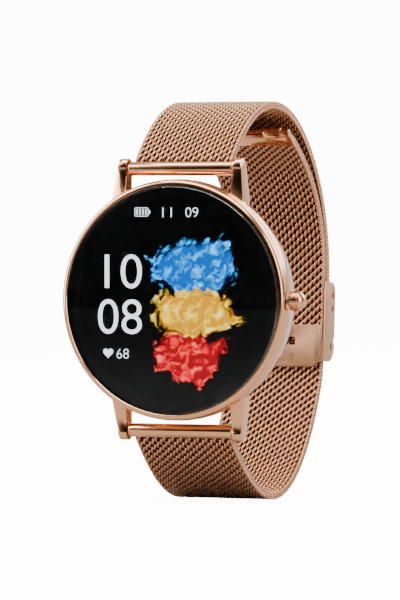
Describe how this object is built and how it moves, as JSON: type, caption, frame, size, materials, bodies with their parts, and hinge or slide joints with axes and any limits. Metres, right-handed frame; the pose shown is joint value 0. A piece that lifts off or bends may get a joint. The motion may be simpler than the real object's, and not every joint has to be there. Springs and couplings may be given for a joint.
{
  "type": "smartwatch",
  "caption": "Round smartwatch with a polished metal case, side crown and black glass face on a closed woven metal strap with a hinged clasp.",
  "frame": {"origin": "centre of the raised face on the case back that rests on the wrist", "axes": "+Y out of the case back, away from the screen; +Z towards 12 o'clock; +X towards the crown"},
  "size_m": [0.0452, 0.054, 0.0715],
  "materials": {
    "polished_case": "polished rose gold plating",
    "woven_mesh": "woven rose gold wire, satin",
    "brushed_clasp": "brushed rose gold plating",
    "polished_fittings": "polished rose gold plating",
    "cover_glass": "clear, polished",
    "optical_glue": "clear film",
    "screen": "black display panel",
    "black_plastic": "moulded",
    "back_shell": "fine satin, moulded",
    "sensor_cover": "dark polished window",
    "circuit_board": "solder mask",
    "black_chips": "moulded",
    "battery_pouch": "foil pouch",
    "motor_steel": "plain steel",
    "steel_parts": "turned steel",
    "gold_contacts": "gold plated",
    "black_rubber": "matt"
  },
  "bodies": {
    "case": {"case_body": "polished_case", "bezel_ring": "polished_case", "front_glass": "cover_glass", "glass_adhesive": "optical_glue", "display_panel": "screen", "inner_frame": "black_plastic", "main_board": "circuit_board", "board_chips": "black_chips", "battery": "battery_pouch", "vibration_motor": "motor_steel", "case_back": "back_shell", "back_gasket": "black_rubber", "back_screws": "steel_parts", "charging_pads": "gold_contacts", "sensor_window": "sensor_cover", "sensor_board": "circuit_board", "sensor_chips": "black_chips", "side_switch": "black_chips", "crown_tube": "steel_parts", "upper_bar_tube": "steel_parts", "upper_bar_tips": "steel_parts", "lower_bar_tube": "steel_parts", "lower_bar_tips": "steel_parts", "bar_springs": "steel_parts"},
    "crown_slider": {"crown_clip": "steel_parts", "crown_seals": "black_rubber"},
    "crown": {"crown_knob": "polished_case", "crown_stem": "steel_parts"},
    "upper_1": {"upper_barrel": "polished_fittings", "upper_mesh_1": "woven_mesh"},
    "upper_2": {"upper_mesh_2": "woven_mesh"},
    "upper_3": {"upper_mesh_3": "woven_mesh"},
    "upper_4": {"upper_mesh_4": "woven_mesh"},
    "upper_5": {"upper_mesh_5": "woven_mesh"},
    "upper_end": {"upper_mesh_6": "woven_mesh", "upper_end_frame": "brushed_clasp", "cover_pin": "polished_fittings"},
    "cover": {"clasp_cover": "brushed_clasp"},
    "lower_1": {"lower_barrel": "polished_fittings", "lower_mesh_1": "woven_mesh"},
    "lower_2": {"lower_mesh_2": "woven_mesh"},
    "lower_3": {"lower_mesh_3": "woven_mesh"},
    "lower_4": {"lower_mesh_4": "woven_mesh"},
    "lower_5": {"lower_mesh_5": "woven_mesh"},
    "lower_6": {"lower_mesh_6": "woven_mesh"},
    "clasp": {"clasp_mesh": "woven_mesh", "clasp_channel": "brushed_clasp", "hook_bar": "brushed_clasp"},
    "lock": {"lock_bar": "brushed_clasp"},
    "tail_1": {"tail_mesh_1": "woven_mesh"},
    "tail_2": {"tail_mesh_2": "woven_mesh"},
    "tail_3": {"tail_mesh_3": "woven_mesh", "tail_end_plate": "brushed_clasp", "tail_stop": "polished_fittings"}
  },
  "joints": [
    {"name": "crown_press", "type": "slide", "parent": "case", "child": "crown_slider", "axis": [-1, 0, 0], "range_m": [0, 0.00045], "stiffness_N_per_m": 800, "springref_m": -0.0006},
    {"name": "crown_turn", "type": "hinge", "parent": "crown_slider", "child": "crown", "pos_m": [0.0215, -0.0056, 0], "axis": [1, 0, 0], "continuous": true},
    {"name": "strap_open", "type": "hinge", "parent": "case", "child": "upper_1", "pos_m": [0, -0.0038, 0.023], "axis": [1, 0, 0], "range_deg": [0, 40]},
    {"name": "upper_flex_1", "type": "hinge", "parent": "upper_1", "child": "upper_2", "pos_m": [0, 0.0049, 0.03078], "axis": [1, 0, 0], "range_deg": [0, 24.2]},
    {"name": "upper_flex_2", "type": "hinge", "parent": "upper_2", "child": "upper_3", "pos_m": [0, 0.01589, 0.03448], "axis": [1, 0, 0], "range_deg": [0, 31.5]},
    {"name": "upper_flex_3", "type": "hinge", "parent": "upper_3", "child": "upper_4", "pos_m": [0, 0.02722, 0.0321], "axis": [1, 0, 0], "range_deg": [0, 28]},
    {"name": "upper_flex_4", "type": "hinge", "parent": "upper_4", "child": "upper_5", "pos_m": [0, 0.03628, 0.0248], "axis": [1, 0, 0], "range_deg": [0, 22.5]},
    {"name": "upper_flex_5", "type": "hinge", "parent": "upper_5", "child": "upper_end", "pos_m": [0, 0.04204, 0.01467], "axis": [1, 0, 0], "range_deg": [0, 22.5]},
    {"name": "lower_swing", "type": "hinge", "parent": "case", "child": "lower_1", "pos_m": [0, -0.0038, -0.023], "axis": [-1, 0, 0], "range_deg": [0, 15]},
    {"name": "lower_flex_1", "type": "hinge", "parent": "lower_1", "child": "lower_2", "pos_m": [0, 0.00332, -0.0298], "axis": [-1, 0, 0], "range_deg": [0, 4.69]},
    {"name": "lower_flex_2", "type": "hinge", "parent": "lower_2", "child": "lower_3", "pos_m": [0, 0.01191, -0.03454], "axis": [-1, 0, 0], "range_deg": [0, 8.28]},
    {"name": "lower_flex_3", "type": "hinge", "parent": "lower_3", "child": "lower_4", "pos_m": [0, 0.02163, -0.03489], "axis": [-1, 0, 0], "range_deg": [0, 9.68]},
    {"name": "lower_flex_4", "type": "hinge", "parent": "lower_4", "child": "lower_5", "pos_m": [0, 0.03014, -0.03011], "axis": [-1, 0, 0], "range_deg": [0, 6.5]},
    {"name": "lower_flex_5", "type": "hinge", "parent": "lower_5", "child": "lower_6", "pos_m": [0, 0.03644, -0.02256], "axis": [-1, 0, 0], "range_deg": [0, 4.66]},
    {"name": "lower_flex_6", "type": "hinge", "parent": "lower_6", "child": "clasp", "pos_m": [0, 0.04061, -0.01368], "axis": [-1, 0, 0], "range_deg": [0, 6.59]},
    {"name": "cover_open", "type": "hinge", "parent": "upper_end", "child": "cover", "pos_m": [0, 0.04472, 0.00147], "axis": [1, 0, 0], "range_deg": [0, 125]},
    {"name": "lock_turn", "type": "hinge", "parent": "clasp", "child": "lock", "pos_m": [0, 0.03981, -0.00826], "axis": [1, 0, 0], "range_deg": [0, 90]},
    {"name": "tail_flex_1", "type": "hinge", "parent": "clasp", "child": "tail_1", "pos_m": [0, 0.04179, 0.00328], "axis": [1, 0, 0], "range_deg": [0, 12]},
    {"name": "tail_flex_2", "type": "hinge", "parent": "tail_1", "child": "tail_2", "pos_m": [0, 0.04041, 0.01329], "axis": [1, 0, 0], "range_deg": [0, 13]},
    {"name": "tail_flex_3", "type": "hinge", "parent": "tail_2", "child": "tail_3", "pos_m": [0, 0.03495, 0.02181], "axis": [1, 0, 0], "range_deg": [0, 13]}
  ],
  "couplings": [
    {"joint": "upper_flex_1", "follows": "strap_open", "ratio": 0.5795},
    {"joint": "upper_flex_2", "follows": "strap_open", "ratio": 0.7628},
    {"joint": "upper_flex_3", "follows": "strap_open", "ratio": 0.6744},
    {"joint": "upper_flex_4", "follows": "strap_open", "ratio": 0.5378},
    {"joint": "upper_flex_5", "follows": "strap_open", "ratio": 0.5373},
    {"joint": "lower_swing", "follows": "strap_open", "ratio": 0.35},
    {"joint": "lower_flex_1", "follows": "strap_open", "ratio": 0.111},
    {"joint": "lower_flex_2", "follows": "strap_open", "ratio": 0.2009},
    {"joint": "lower_flex_3", "follows": "strap_open", "ratio": 0.2357},
    {"joint": "lower_flex_4", "follows": "strap_open", "ratio": 0.1563},
    {"joint": "lower_flex_5", "follows": "strap_open", "ratio": 0.1102},
    {"joint": "lower_flex_6", "follows": "strap_open", "ratio": 0.1586},
    {"joint": "tail_flex_2", "follows": "tail_flex_1", "ratio": 1},
    {"joint": "tail_flex_3", "follows": "tail_flex_1", "ratio": 1}
  ]
}
